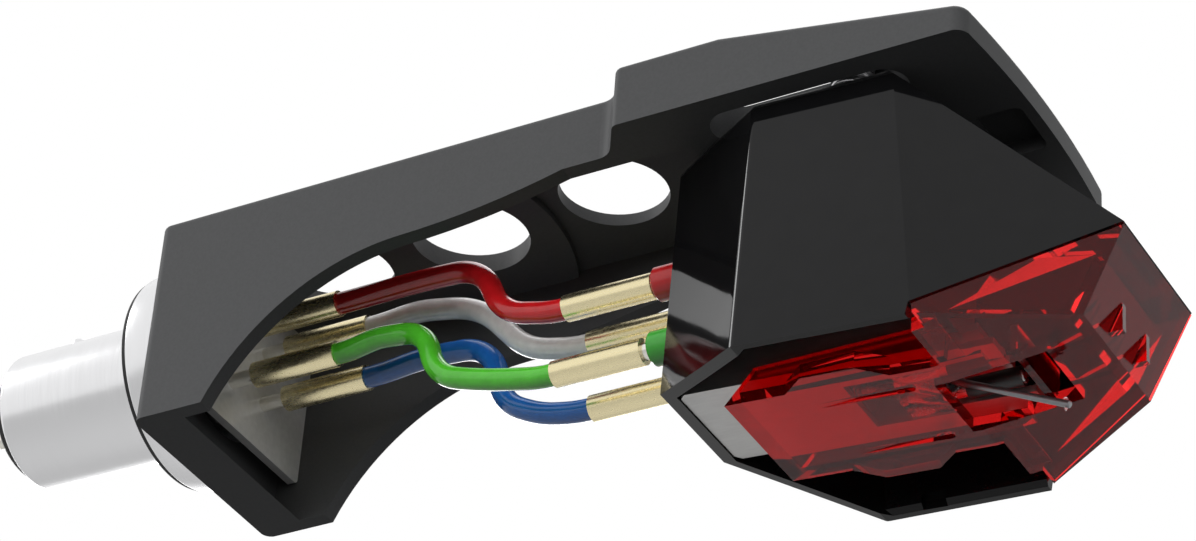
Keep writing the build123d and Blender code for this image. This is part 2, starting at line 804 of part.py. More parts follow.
nose_hollow = nose_blank(nose_wall)
with BuildPart() as stylus_holder:
    add(nose_blank(0))
    # Flange inside the body's rim, and the tray under the generator can
    with BuildSketch(Plane.XY.offset(ridge[1] - 0.5)):
        with Locations((wing_x + 0.6, 0)):
            Rectangle(1.2, 2 * (wing_half - 0.2))
    extrude(amount=1.4)
    with BuildSketch(Plane.XY.offset(ridge[1] - 0.5)):
        with Locations(((holder_rear + wing_x + 0.2) / 2, 0)):
            Rectangle(wing_x + 0.2 - holder_rear, 2 * holder_side)
    extrude(amount=holder_top - ridge[1] + 0.5)
    # Snap tabs, as thick as the floor
    with BuildSketch(Plane.XY.offset(ridge[1] - 0.5)):
        with BuildLine():
            Polyline(
                (tab_foot[0], -holder_side),
                (tab_head[0], -holder_tab_side),
                (tab_head[1], -holder_tab_side),
                (tab_foot[1], -holder_side),
                (tab_foot[1], holder_side),
                (tab_head[1], holder_tab_side),
                (tab_head[0], holder_tab_side),
                (tab_foot[0], holder_side),
                close=True,
            )
        make_face()
    extrude(amount=holder_under(tab_head[0]) + floor_thickness - ridge[1] + 0.5)
    # Underside, in two slopes that meet at the ridge
    with BuildSketch(Plane.XZ):
        with BuildLine():
            Polyline(
                (holder_rear - 1, holder_under(holder_rear - 1)),
                ridge,
                (nose_front + 3, nose_bottom + (nose_bottom - ridge[1]) / (nose_front - ridge[0]) * 3),
                (nose_front + 3, -20),
                (holder_rear - 1, -20),
                close=True,
            )
        make_face()
    extrude(amount=12, both=True, mode=Mode.SUBTRACT)
    # Inside of the tray
    with BuildSketch(Plane.XZ):
        with BuildLine():
            Polyline(
                (holder_rear - 1, holder_under(holder_rear - 1) + floor_thickness),
                (wing_x + 2, holder_under(wing_x + 2) + floor_thickness),
                (wing_x + 2, 0),
                (holder_rear - 1, 0),
                close=True,
            )
        make_face()
    extrude(amount=can_half + holder_gap, both=True, mode=Mode.SUBTRACT)
    # Slanted rear end of the sides and the floor
    with BuildSketch(Plane.XZ):
        with BuildLine():
            Polyline(
                (holder_rear, holder_low),
                holder_slant,
                (holder_slant[0] + 0.2, 0),
                (holder_rear - 1, 0),
                (holder_rear - 1, holder_low),
                close=True,
            )
        make_face()
    extrude(amount=holder_side + 1, both=True, mode=Mode.SUBTRACT)
    # Hollow nose, with two ribs ahead of the notch
    add(nose_hollow, mode=Mode.SUBTRACT)
    for side in (-1, 1):
        with BuildSketch(Plane.XZ.offset(side * nose_rib_side)):
            with BuildLine():
                Polyline(
                    (notch_front, nose_bottom + floor_thickness / 2),
                    (nose_rib_front, nose_bottom + floor_thickness / 2),
                    (nose_rib_front, nose_rib_tops[1]),
                    (notch_front, nose_rib_tops[0]),
                    close=True,
                )
            make_face()
        extrude(amount=nose_rib_thickness / 2, both=True)
    # Notch for the cantilever
    with BuildSketch(Plane.XY.offset(-16)):
        with Locations(((notch_rear + notch_front) / 2, 0)):
            Rectangle(notch_front - notch_rear, 2 * notch_half)
    extrude(amount=4, mode=Mode.SUBTRACT)
    # Bridge over the notch
    with BuildSketch(Plane.XY.offset(bridge_heights[0])):
        with Locations((sum(bridge_x) / 2, 0)):
            Rectangle(bridge_x[1] - bridge_x[0], 2 * (notch_half + bridge_reach))
    extrude(amount=bridge_heights[1] - bridge_heights[0])
    # Saddle that carries the tube
    with BuildSketch(Plane.XZ):
        with BuildLine():
            slope = tan(droop)
            Polyline(
                (saddle_range[0], holder_under(saddle_range[0]) + floor_thickness / 2),
                (saddle_range[1], holder_under(saddle_range[1]) + floor_thickness / 2),
                (saddle_range[1], pivot[2] - slope * (saddle_range[1] - pivot[0])),
                (saddle_range[0], pivot[2] - slope * (saddle_range[0] - pivot[0])),
                close=True,
            )
        make_face()
    extrude(amount=saddle_half, both=True)
    with BuildSketch(along(tube_range[0] - 2)):
        Circle(tube_radius)
    extrude(amount=tube_range[1] - tube_range[0] + 4, mode=Mode.SUBTRACT)
    # Two grooves in the underside
    with BuildSketch(Plane.XY.offset(-16)):
        for side in (-1, 1):
            with Locations(((groove_rear + groove_front) / 2, side * groove_side)):
                SlotOverall(groove_front - groove_rear, groove_width)
    extrude(amount=16 + holder_under((groove_rear + groove_front) / 2) + groove_depth, mode=Mode.SUBTRACT)
save(stylus_holder.part, "stylus_holder")


def rod(name, span, radius, bore=0.0):
    """A round piece on the cantilever's line."""
    with BuildPart() as piece:
        with BuildSketch(along(span[0])):
            Circle(radius)
            if bore > 0:
                Circle(bore, mode=Mode.SUBTRACT)
        extrude(amount=span[1] - span[0])
    save(piece.part, name)


rod("stylus_tube", tube_range, tube_radius, tube_bore)
rod("tube_plug", (tube_range[0], tube_range[0] + plug_length), tube_bore)
rod("damper_ring", (-damper_half, damper_half), tube_bore - running_gap, damper_bore)
rod("suspension_wire", wire_range, wire_radius)
rod("magnet", magnet_range, magnet_radius, cantilever_radius)

diamond_place = Vector(*pivot) + cantilever_way * (cantilever_reach - diamond_seat)
diamond_x = diamond_place.X
diamond_top = diamond_place.Z + diamond_rise
diamond_tip = diamond_place.Z - diamond_drop
with BuildPart() as cantilever:
    with BuildSketch(along(-cantilever_tail)):
        Circle(cantilever_radius)
    extrude(amount=cantilever_tail + cantilever_reach)
    chamfer(cantilever.edges().group_by(Axis.X)[-1], cantilever_bevel)
    with BuildSketch(Plane.XY.offset(diamond_tip)):
        with Locations((diamond_x, 0)):
            Circle(diamond_radius)
    extrude(amount=3, mode=Mode.SUBTRACT)
save(cantilever.part, "cantilever")

with BuildPart() as diamond_stylus:
    with BuildSketch(Plane.XZ):
        with BuildLine():
            Polyline(
                (diamond_x, diamond_tip),
                (diamond_x + 0.02, diamond_tip),
                (diamond_x + diamond_radius, diamond_tip + 0.25),
                (diamond_x + diamond_radius, diamond_top),
                (diamond_x, diamond_top),
                close=True,
            )
        make_face()
    revolve(axis=Axis((diamond_x, 0, 0), (0, 0, 1)))
save(diamond_stylus.part, "diamond_stylus")
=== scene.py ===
# %% [markdown]
# A turntable cartridge under its headshell, seen from below as the photo shows it.
# The exact solids come from the CAD frame, so this lesson is about three things: the finishes
# and the light, two turned pieces that the photo places differently from the CAD, and the
# small repeated shapes that a solid model leaves out, which are the turns of wire on the
# coils and the ridges and thread of the mounting screws.

# %% Load the frame
import math

import bpy
from mathutils import Matrix, Vector


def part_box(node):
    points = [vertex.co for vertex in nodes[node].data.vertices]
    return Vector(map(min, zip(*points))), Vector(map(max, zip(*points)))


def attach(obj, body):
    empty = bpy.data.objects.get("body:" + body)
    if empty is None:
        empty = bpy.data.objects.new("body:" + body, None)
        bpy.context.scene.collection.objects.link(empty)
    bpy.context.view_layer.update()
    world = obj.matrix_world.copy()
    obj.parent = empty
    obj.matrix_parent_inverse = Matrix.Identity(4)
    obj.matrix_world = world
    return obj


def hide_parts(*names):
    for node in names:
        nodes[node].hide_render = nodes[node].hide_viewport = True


MM = 0.001
CHANNELS = ("white", "red", "green", "blue")

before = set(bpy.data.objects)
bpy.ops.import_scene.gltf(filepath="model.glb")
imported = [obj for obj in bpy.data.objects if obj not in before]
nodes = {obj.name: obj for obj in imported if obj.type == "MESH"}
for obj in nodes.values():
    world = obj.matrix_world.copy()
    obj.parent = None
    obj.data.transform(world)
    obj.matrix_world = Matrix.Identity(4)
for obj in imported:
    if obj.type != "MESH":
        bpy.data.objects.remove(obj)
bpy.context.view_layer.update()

# %% [markdown]
# The photo looks up into the channel from below the right side. A camera can be placed by
# eye, by a fitting tool, or from the directions of edges that are square on the real part.
# The last leaves least to taste, so the camera's three directions were solved from such
# edges and are written down as they came out. Blender's camera looks along its own -Z, so
# the third column of its matrix is the viewing direction turned round. The lens is long and
# the camera stands well back, because the photo shows hardly any perspective.

# %% Camera
CAMERA_PLACE = Vector((0.12309, -0.15225, -0.12292))
CAMERA_RIGHT = Vector((0.8733, 0.4835, 0.0620)).normalized()
CAMERA_AHEAD = Vector((-0.4290, 0.7020, 0.5685)).normalized()
LENS = 120.4

camera_up = CAMERA_RIGHT.cross(CAMERA_AHEAD).normalized()
camera_data = bpy.data.cameras.new("photo_camera")
camera_data.sensor_width = 36
camera_data.lens = LENS
camera_data.clip_start = 0.005
camera_data.clip_end = 20
camera = bpy.data.objects.new("photo_camera", camera_data)
columns = Matrix((CAMERA_RIGHT, camera_up, -CAMERA_AHEAD)).transposed()
camera.matrix_world = Matrix.Translation(CAMERA_PLACE) @ columns.to_4x4()
bpy.context.scene.collection.objects.link(camera)
bpy.context.scene.camera = camera
bpy.context.scene.view_settings.view_transform = "Standard"
print("camera stands", round(CAMERA_PLACE.length, 3), "m from the frame's origin")

# %% [markdown]
# The ground of the photo is plain white, and yet the undersides are nearly black. One grey
# world can't do both. Light Path tells the kinds of ray apart: what the camera, a mirror or
# clear plastic sees is white, and what a matt surface gathers is a grey that fades from
# above to below. So the ground is white without more light on the object. A wide glow from
# the near side is in that grey too. A lamp could give it, but the photo's flanks and the
# clear nose mirror no lamp, and a glow that only matt surfaces gather has no mirror image.

# %% World
LIGHT_BELOW = 0.06
LIGHT_ABOVE = 0.55
GLOW_FROM = (-0.33, -0.92, 0.20)
GLOW_EDGE = 0.3  # cosine of the angle where the glow begins
GLOW = 1.65

world = bpy.data.worlds.new("studio")
bpy.context.scene.world = world
world.use_nodes = True
sky = world.node_tree
sky.nodes.clear()
rays = sky.nodes.new("ShaderNodeLightPath")
direction = sky.nodes.new("ShaderNodeTexCoord")
split = sky.nodes.new("ShaderNodeSeparateXYZ")
fade = sky.nodes.new("ShaderNodeMapRange")
fade.inputs["From Min"].default_value = -1  # straight down; From Max is 1, straight up
fade.inputs["To Min"].default_value = LIGHT_BELOW
fade.inputs["To Max"].default_value = LIGHT_ABOVE
toward = sky.nodes.new("ShaderNodeVectorMath")
toward.operation = "DOT_PRODUCT"
toward.inputs[1].default_value = GLOW_FROM
glow = sky.nodes.new("ShaderNodeMapRange")
glow.inputs["From Min"].default_value = GLOW_EDGE
glow.inputs["To Max"].default_value = GLOW
gathered = sky.nodes.new("ShaderNodeMath")
gathered.operation = "ADD"
soft = sky.nodes.new("ShaderNodeBackground")
soft.inputs["Color"].default_value = (1, 1, 1, 1)
white = sky.nodes.new("ShaderNodeBackground")
white.inputs["Color"].default_value = (1, 1, 1, 1)
mix = sky.nodes.new("ShaderNodeMixShader")
out = sky.nodes.new("ShaderNodeOutputWorld")
sky.links.new(direction.outputs["Generated"], split.inputs["Vector"])
sky.links.new(split.outputs["Z"], fade.inputs["Value"])
sky.links.new(direction.outputs["Generated"], toward.inputs[0])
sky.links.new(toward.outputs["Value"], glow.inputs["Value"])
sky.links.new(fade.outputs["Result"], gathered.inputs[0])
sky.links.new(glow.outputs["Result"], gathered.inputs[1])
sky.links.new(gathered.outputs[0], soft.inputs["Strength"])
sky.links.new(rays.outputs["Is Diffuse Ray"], mix.inputs["Fac"])
sky.links.new(white.outputs[0], mix.inputs[1])
sky.links.new(soft.outputs[0], mix.inputs[2])
sky.links.new(mix.outputs[0], out.inputs["Surface"])
print("world gives matt surfaces", LIGHT_BELOW, "from below and", LIGHT_ABOVE, "from above")

# %% [markdown]
# Four weak square area lamps add shape where the glow doesn't reach: one ahead, one above,
# one on the far side, which keeps the sides that the photo doesn't show from going dark in
# other views, and one behind. None stands where a flank of the body mirrors it towards the
# camera. The one behind stands where the rounded shoulder does, so that the shoulder gets
# the thin bright line that the photo shows.

# %% Lamps
OBJECT_MIDDLE = (0.030, 0.0, -0.003)


def soft_lamp(name, place, size, power):
    """A square area lamp that faces the object."""
    data = bpy.data.lights.new(name, "AREA")
    data.shape = "SQUARE"
    data.size = size
    data.energy = power
    lamp = bpy.data.objects.new(name, data)
    away = Vector(place) - Vector(OBJECT_MIDDLE)
    facing = away.normalized().to_track_quat("Z", "Y").to_matrix().to_4x4()
    lamp.matrix_world = Matrix.Translation(place) @ facing
    bpy.context.scene.collection.objects.link(lamp)
    print(name, "is", round(away.length, 2), "m away")


soft_lamp("front_lamp", (0.500, 0.200, 0.120), 0.25, 0.12)
soft_lamp("top_lamp", (0.050, 0.100, 0.500), 0.40, 0.9)
soft_lamp("far_lamp", (-0.330, 0.430, 0.200), 0.30, 1.0)
soft_lamp("shoulder_lamp", (-0.400, -0.130, 0.310), 0.16, 0.50)

# %% [markdown]
# The floor lies far below, because the camera looks up past it and only the other views see
# it. It is pale to the camera and keeps the object's shadow, but what it throws back on
# matt undersides is dark, as in the photo, where hardly any light comes from below.

# %% Floor
FLOOR_PALE = 0.72
FLOOR_DARK = 0.10
FLOOR_ROUGHNESS = 0.9
FLOOR_SIZE = 6
FLOOR_Z = -0.6

bpy.ops.mesh.primitive_plane_add(size=FLOOR_SIZE, location=(0, 0, FLOOR_Z))
floor = bpy.context.object
floor.name = "floor"
floor_paint = bpy.data.materials.new("floor_paint")
floor_paint.use_nodes = True
paint_tree = floor_paint.node_tree
floor_shader = paint_tree.nodes["Principled BSDF"]
floor_shader.inputs["Roughness"].default_value = FLOOR_ROUGHNESS
floor_rays = paint_tree.nodes.new("ShaderNodeLightPath")
floor_shade = paint_tree.nodes.new("ShaderNodeMapRange")
floor_shade.inputs["To Min"].default_value = FLOOR_PALE
floor_shade.inputs["To Max"].default_value = FLOOR_DARK
paint_tree.links.new(floor_rays.outputs["Is Diffuse Ray"], floor_shade.inputs["Value"])
paint_tree.links.new(floor_shade.outputs["Result"], floor_shader.inputs["Base Color"])
floor.data.materials.append(floor_paint)
print("floor", floor.dimensions[:2])

# %% [markdown]
# Every finish is one Principled shader. A picture could carry the grain, but it would need
# unwrapping. Noise on Object coordinates needs none, and its grain has the same real size
# on every piece. The noise does three jobs: it tints the colour a little, it makes the gloss
# uneven, and it gives the surface a fine relief. Turned and drawn metal has its marks in
# one direction, so there the coordinates are stretched first.


# %% Helper for a finish
NOISE_DETAIL = 3
NOISE_LOW = 0.3  # nearly all of the noise lies between these two
NOISE_HIGH = 0.7
MICROMETRE = 1e-6


def finish(name, colour, roughness, metallic=0.0, grain=4.0, tint=0.08, spread=0.04,
           relief=0.0, stretch=(1, 1, 1), **sockets):
    """A Principled material. Grain is in grains per millimetre, and relief in micrometres."""
    material = bpy.data.materials.new(name)
    material.use_nodes = True
    links = material.node_tree.links
    make = material.node_tree.nodes.new
    shader = material.node_tree.nodes["Principled BSDF"]
    shader.inputs["Metallic"].default_value = metallic
    for socket, value in sockets.items():
        shader.inputs[socket.replace("_", " ")].default_value = value
    where = make("ShaderNodeTexCoord")
    aligned = make("ShaderNodeMapping")
    aligned.inputs["Scale"].default_value = stretch
    noise = make("ShaderNodeTexNoise")
    noise.inputs["Scale"].default_value = grain / MM
    noise.inputs["Detail"].default_value = NOISE_DETAIL
    links.new(where.outputs["Object"], aligned.inputs["Vector"])
    links.new(aligned.outputs["Vector"], noise.inputs["Vector"])
    ramp = make("ShaderNodeValToRGB")
    ramp.color_ramp.elements[0].position = NOISE_LOW
    ramp.color_ramp.elements[0].color = (*[part * (1 - tint) for part in colour], 1)
    ramp.color_ramp.elements[1].position = NOISE_HIGH
    ramp.color_ramp.elements[1].color = (*[min(part * (1 + tint), 1) for part in colour], 1)
    links.new(noise.outputs["Fac"], ramp.inputs["Fac"])
    links.new(ramp.outputs["Color"], shader.inputs["Base Color"])
    gloss = make("ShaderNodeMapRange")
    gloss.inputs["From Min"].default_value = NOISE_LOW
    gloss.inputs["From Max"].default_value = NOISE_HIGH
    gloss.inputs["To Min"].default_value = max(roughness - spread, 0)
    gloss.inputs["To Max"].default_value = roughness + spread
    links.new(noise.outputs["Fac"], gloss.inputs["Value"])
    links.new(gloss.outputs["Result"], shader.inputs["Roughness"])
    if relief > 0:
        bump = make("ShaderNodeBump")
        bump.inputs["Distance"].default_value = relief * MICROMETRE
        links.new(noise.outputs["Fac"], bump.inputs["Height"])
        links.new(bump.outputs["Normal"], shader.inputs["Normal"])
    print("finish", name, "grain", grain, "per mm")
    return material


def wear(material, *names):
    """Gives CAD nodes this material in all their slots."""
    for name in names:
        for slot in nodes[name].material_slots:
            slot.material = material


# %% [markdown]
# The photo shows a headshell with a fine matt grey coat. A plain grey would look like
# plastic. The coat gets a fine grain in its relief and gloss, and a weak mirror, so
# that its faces differ by the light they get and not by reflections.

# %% Headshell coat
headshell_coat = finish("headshell_coat", (0.088, 0.089, 0.091), 0.46, grain=7, tint=0.05,
                        relief=0.8, Specular_IOR_Level=0.05)
wear(headshell_coat, "headshell_frame")

# %% [markdown]
# The plug is taken to be a turned alloy barrel. Turning leaves rings round the axis, which is
# X here, so the noise is stretched along Y and Z and stays fine along X. The pieces beside
# it, rubber, moulded plastic and board, are never even, so they get a relief of their own.

# %% Plug
turned_alloy = finish("turned_alloy", (0.78, 0.78, 0.79), 0.24, metallic=1.0, grain=9,
                      tint=0.02, spread=0.03, relief=0.25, stretch=(1, 0.04, 0.04))
wear(turned_alloy, "locating_pin")
washer_rubber = finish("washer_rubber", (0.012, 0.012, 0.013), 0.62, grain=6, relief=2.0)
wear(washer_rubber, "damper_ring")
black_core = finish("black_core", (0.010, 0.010, 0.010), 0.42, grain=5, relief=0.6)
wear(black_core, "end_insulator", "pole_sleeves")
board = finish("terminal_board", (0.78, 0.78, 0.77), 0.22, grain=2.5, tint=0.05, relief=0.5)
wear(board, "terminal_plate")

# %% [markdown]
# Pins and slip-on terminals are plated. Pale gold over brass reads as a warm grey where it
# mirrors the dark headshell and as pale gold where it mirrors the studio, and the shader
# does that by itself when it is metallic and fairly smooth. The terminals are rolled from
# sheet along X, so their fine marks run that way.

# %% Contacts and terminals
pin_plating = finish("pin_plating", (0.80, 0.78, 0.72), 0.20, metallic=1.0, grain=5, tint=0.03,
                     relief=0.2, stretch=(1, 0.1, 0.1))
wear(pin_plating, *[f"contact_pin_{channel}" for channel in CHANNELS])
wear(pin_plating, *[f"cartridge_pin_{channel}" for channel in CHANNELS])
rolled_gold = finish("rolled_gold", (0.84, 0.74, 0.46), 0.27, metallic=1.0, grain=8, tint=0.03,
                     spread=0.03, stretch=(0.3, 1, 1))
wear(rolled_gold, *[f"rear_terminal_{channel}" for channel in CHANNELS])
wear(rolled_gold, *[f"front_terminal_{channel}" for channel in CHANNELS])

# %% [markdown]
# The leads are thin soft plastic jackets, one colour to each channel, and the collars on the
# cartridge pins repeat the colours. A soft jacket is glossy but never quite even, so its
# grain is coarse and its relief low.

# %% Leads and collars
JACKETS = {
    "white": (0.92, 0.93, 0.94),
    "red": (0.64, 0.010, 0.014),
    "green": (0.09, 0.60, 0.03),
    "blue": (0.014, 0.155, 0.58),
}
COLLARS = {
    "white": (0.60, 0.60, 0.60),
    "red": (0.50, 0.012, 0.014),
    "green": (0.05, 0.42, 0.04),
    "blue": (0.010, 0.08, 0.30),
}
for channel in CHANNELS:
    jacket = finish(f"jacket_{channel}", JACKETS[channel], 0.16, grain=1.6, relief=1.0,
                    Coat_Weight=0.2)
    wear(jacket, f"lead_{channel}")
    collar = finish(f"collar_{channel}", COLLARS[channel], 0.20, grain=2, relief=0.8)
    wear(collar, f"pin_collar_{channel}")

# %% [markdown]
# The body is moulded in gloss black. Its rear facet mirrors the hole above it and the red
# collar, so it is almost a mirror, with only a trace of unevenness from the mould.

# %% Cartridge body
gloss_black = finish("gloss_black", (0.006, 0.006, 0.0065), 0.05, grain=0.8, tint=0.10,
                     spread=0.012, relief=0.05, Specular_IOR_Level=0.20)
wear(gloss_black, "body_shell")

# %% [markdown]
# The CAD's brow, just under the face that seats against the headshell, mirrors a bright line
# that the photo doesn't show, so it is made matt here. That is a guess made to follow the
# photo. A second material would need its own faces. The height in Object coordinates tells
# the brow from the rest on the CAD's own mesh, so one material does for both, and its
# roughness steps up where the brow begins.

# %% Matt brow of the body
BROW_HEIGHT = 0.44 * MM
BROW_BLEND = 0.04 * MM
MATT_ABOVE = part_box("body_shell")[1][2] - BROW_HEIGHT
MATT_ROUGHNESS = 0.55

shell_links = gloss_black.node_tree.links
shell_make = gloss_black.node_tree.nodes.new
shell_shader = gloss_black.node_tree.nodes["Principled BSDF"]
mirror_gloss = shell_shader.inputs["Roughness"].links[0].from_socket
shell_place = shell_make("ShaderNodeTexCoord")
shell_xyz = shell_make("ShaderNodeSeparateXYZ")
on_brow = shell_make("ShaderNodeMapRange")
on_brow.inputs["From Min"].default_value = MATT_ABOVE
on_brow.inputs["From Max"].default_value = MATT_ABOVE + BROW_BLEND
seat = shell_make("ShaderNodeMix")
seat.inputs["B"].default_value = MATT_ROUGHNESS
shell_links.new(shell_place.outputs["Object"], shell_xyz.inputs["Vector"])
shell_links.new(shell_xyz.outputs["Z"], on_brow.inputs["Value"])
shell_links.new(on_brow.outputs["Result"], seat.inputs["Factor"])
shell_links.new(mirror_gloss, seat.inputs["A"])
shell_links.new(seat.outputs["Result"], shell_shader.inputs["Roughness"])
print("matt above", round(MATT_ABOVE / MM, 2), "mm")

# %% [markdown]
# The can is bent from sheet and the poles are steel. A plain metal would mirror the room
# sharply. Marks of rolling run along X, so the noise is stretched that way, and a middling
# roughness lets the light spread over the flat faces.

# %% Can, poles and washers
folded_sheet = finish("folded_sheet", (0.54, 0.54, 0.53), 0.34, metallic=0.7, grain=5,
                      tint=0.05, relief=0.6, stretch=(0.2, 1, 1))
wear(folded_sheet, "generator_can")
pole_steel = finish("pole_steel", (0.60, 0.60, 0.59), 0.28, metallic=1.0, grain=5,
                    stretch=(0.2, 1, 1))
wear(pole_steel, "pole_pieces", "yoke", "suspension_wire")
screw_steel = finish("screw_steel", (0.50, 0.50, 0.51), 0.30, metallic=1.0, grain=5, relief=0.3)
wear(screw_steel, "screw_washers")

# %% [markdown]
# The stylus holder is clear red plastic. The colour of clear plastic comes from light that
# has gone through it, so the shader transmits and the base colour filters. Its IOR is under
# that of acrylic, 1.49, because the photo's facets mirror the white studio only weakly. The
# tube, the cantilever and the tip are tiny and bright.

# %% Stylus
clear_red = finish("clear_red", (0.93, 0.016, 0.016), 0.015, grain=1.2, tint=0.04,
                   spread=0.006, relief=0.03, Transmission_Weight=0.97, IOR=1.33)
wear(clear_red, "stylus_holder")
tube_alloy = finish("tube_alloy", (0.62, 0.62, 0.62), 0.28, metallic=1.0, grain=6, relief=0.2)
wear(tube_alloy, "stylus_tube", "tube_plug")
magnet_grey = finish("magnet_grey", (0.18, 0.18, 0.18), 0.35, metallic=0.8, grain=8, relief=0.5)
wear(magnet_grey, "magnet")
drawn_alloy = finish("drawn_alloy", (0.24, 0.24, 0.25), 0.34, metallic=0.8, grain=9, tint=0.04)
wear(drawn_alloy, "cantilever")
diamond = finish("diamond", (0.90, 0.92, 0.95), 0.02, grain=4, tint=0.02, spread=0.01,
                 Transmission_Weight=1.0, IOR=2.4)
wear(diamond, "diamond_stylus")

# %% [markdown]
# The plug is taken to be one turned piece: a barrel that enters the tonearm and a thin
# flange against the headshell, with a rubber washer on the flange. In the photo the flange
# is thinner and starts further forward than the CAD's, so the two pieces are turned again
# here. A turned shape could be a Screw modifier on a curve, but a loop that carries a
# profile round the axis leaves a closed mesh with no seam. The profile runs so that its
# faces point outwards.


# %% Turned pieces
SHARP_ANGLE = math.radians(30)


def turned(name, profile, material, body, cuts=128):
    """A closed mesh: the profile's (x, radius) points carried round the X axis."""
    corners = []
    for cut in range(cuts):
        angle = 2 * math.pi * cut / cuts
        for along, radius in profile:
            out = radius * MM
            corners.append((along * MM, out * math.cos(angle), out * math.sin(angle)))
    count = len(profile)
    faces = []
    for cut in range(cuts):
        here, ahead = cut * count, (cut + 1) % cuts * count
        for point in range(count):
            after = (point + 1) % count
            faces.append((here + point, ahead + point, ahead + after, here + after))
    mesh = bpy.data.meshes.new(name)
    mesh.from_pydata(corners, [], faces)
    mesh.materials.append(material)
    mesh.update()
    mesh.set_sharp_from_angle(angle=SHARP_ANGLE)
    for face in mesh.polygons:
        face.use_smooth = True
    piece = bpy.data.objects.new(name, mesh)
    bpy.context.scene.collection.objects.link(piece)
    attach(piece, body)
    print(name, "has", len(faces), "faces and turns round X")
    return piece


def rounded(x, radius, size, turn_from, steps=5):
    """Points of a quarter round of this size, centred at (x, radius)."""
    angles = [math.radians(turn_from - 90 * number / steps) for number in range(steps + 1)]
    return [(x + size * math.cos(angle), radius + size * math.sin(angle)) for angle in angles]


BARREL_RADIUS = 4.0
BARREL_BORE = 3.3
BARREL_TAIL = -7.1
BARREL_ROUNDING = 0.25
BARREL_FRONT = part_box("connector_barrel")[1][0] / MM
FLANGE_RADIUS = 6.3
FLANGE_REAR = 3.3
FLANGE_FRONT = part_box("headshell_frame")[0][0] / MM
FLANGE_ROUNDING = 0.1
FLANGE_EDGE = FLANGE_RADIUS - FLANGE_ROUNDING
WASHER_RADIUS = 6.18
WASHER_REAR = 3.05
barrel_profile = [
    (BARREL_TAIL, BARREL_BORE),
    *rounded(BARREL_TAIL + BARREL_ROUNDING, BARREL_RADIUS - BARREL_ROUNDING,
             BARREL_ROUNDING, 180),
    (FLANGE_REAR, BARREL_RADIUS),
    *rounded(FLANGE_REAR + FLANGE_ROUNDING, FLANGE_EDGE, FLANGE_ROUNDING, 180, 3),
    *rounded(FLANGE_FRONT - FLANGE_ROUNDING, FLANGE_EDGE, FLANGE_ROUNDING, 90, 3),
    (FLANGE_FRONT, BARREL_RADIUS),
    (BARREL_FRONT, BARREL_RADIUS),
    (BARREL_FRONT, BARREL_BORE),
]
washer_profile = [
    (WASHER_REAR, BARREL_RADIUS),
    (WASHER_REAR, WASHER_RADIUS),
    (FLANGE_REAR, WASHER_RADIUS),
    (FLANGE_REAR, BARREL_RADIUS),
]
plug = turned("plug_barrel", barrel_profile, turned_alloy, "mounted_cartridge")
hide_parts("connector_barrel")
seal = turned("flange_washer", washer_profile, washer_rubber, "mounted_cartridge")
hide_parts("rubber_washer")

# %% [markdown]
# Two kinds of small shape repeat, and both are made with Geometry Nodes. A tree is a recipe
# with named inputs: change a number and every copy follows. Of the helpers, recipe makes a
# tree and its inputs, step adds a node, times multiplies, along_z makes a vector and close
# ends the tree. The last one, grow, sets the inputs by their identifiers, runs the tree once
# and keeps the result as a plain mesh, so that nothing is left to compute in other programs.


# %% Helpers for Geometry Nodes
def recipe(name, inputs):
    """A new tree with float, whole or vector inputs by name; returns it with its inputs."""
    tree = bpy.data.node_groups.new(name, "GeometryNodeTree")
    tree.interface.new_socket("Geometry", in_out="OUTPUT", socket_type="NodeSocketGeometry")
    kinds = {int: "NodeSocketInt", float: "NodeSocketFloat", tuple: "NodeSocketVector"}
    sockets = {}
    for label, value in inputs.items():
        socket = tree.interface.new_socket(label, in_out="INPUT",
                                           socket_type=kinds[type(value)])
        sockets[label] = socket.identifier
    return tree, sockets, tree.nodes.new("NodeGroupInput")


def step(tree, kind, settings=None, **feeds):
    """Adds a node. A feed is an output socket of an earlier node, or a plain value."""
    node = tree.nodes.new(kind)
    for key, value in (settings or {}).items():
        setattr(node, key, value)
    for label, feed in feeds.items():
        socket = node.inputs[label.replace("_", " ")]
        if isinstance(feed, bpy.types.NodeSocket):
            tree.links.new(feed, socket)
        else:
            socket.default_value = feed
    return node


def times(tree, value, factor):
    """The product of an output socket and a plain number, as an output socket."""
    product = step(tree, "ShaderNodeMath", {"operation": "MULTIPLY"})
    tree.links.new(value, product.inputs[0])
    product.inputs[1].default_value = factor
    return product.outputs[0]


def along_z(tree, height):
    """An upright vector of this height, as an output socket."""
    return step(tree, "ShaderNodeCombineXYZ", Z=height).outputs[0]


def close(tree, joined, material):
    """Ends a tree in Realize Instances and Set Material."""
    whole = step(tree, "GeometryNodeRealizeInstances", Geometry=joined)
    painted = step(tree, "GeometryNodeSetMaterial", Geometry=whole.outputs[0],
                   Material=material)
    tree.links.new(painted.outputs[0], tree.nodes.new("NodeGroupOutput").inputs[0])


def grow(name, tree, sockets, values, body):
    """Runs a tree once and keeps its mesh as a piece that rides on a body."""
    seed = bpy.data.objects.new(f"{name}_seed", bpy.data.meshes.new(f"{name}_seed"))
    bpy.context.scene.collection.objects.link(seed)
    run = seed.modifiers.new("recipe", "NODES")
    run.node_group = tree
    for label, value in values.items():
        run[sockets[label]] = value
    bpy.context.view_layer.update()
    seen = seed.evaluated_get(bpy.context.evaluated_depsgraph_get())
    mesh = bpy.data.meshes.new_from_object(seen)
    mesh.name = name
    seed.modifiers.remove(run)
    bpy.data.objects.remove(seed)
    piece = bpy.data.objects.new(name, mesh)
    bpy.context.scene.collection.objects.link(piece)
    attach(piece, body)
    mesh.calc_loop_triangles()
    print(name, "has", len(mesh.loop_triangles), "triangles")
    return piece


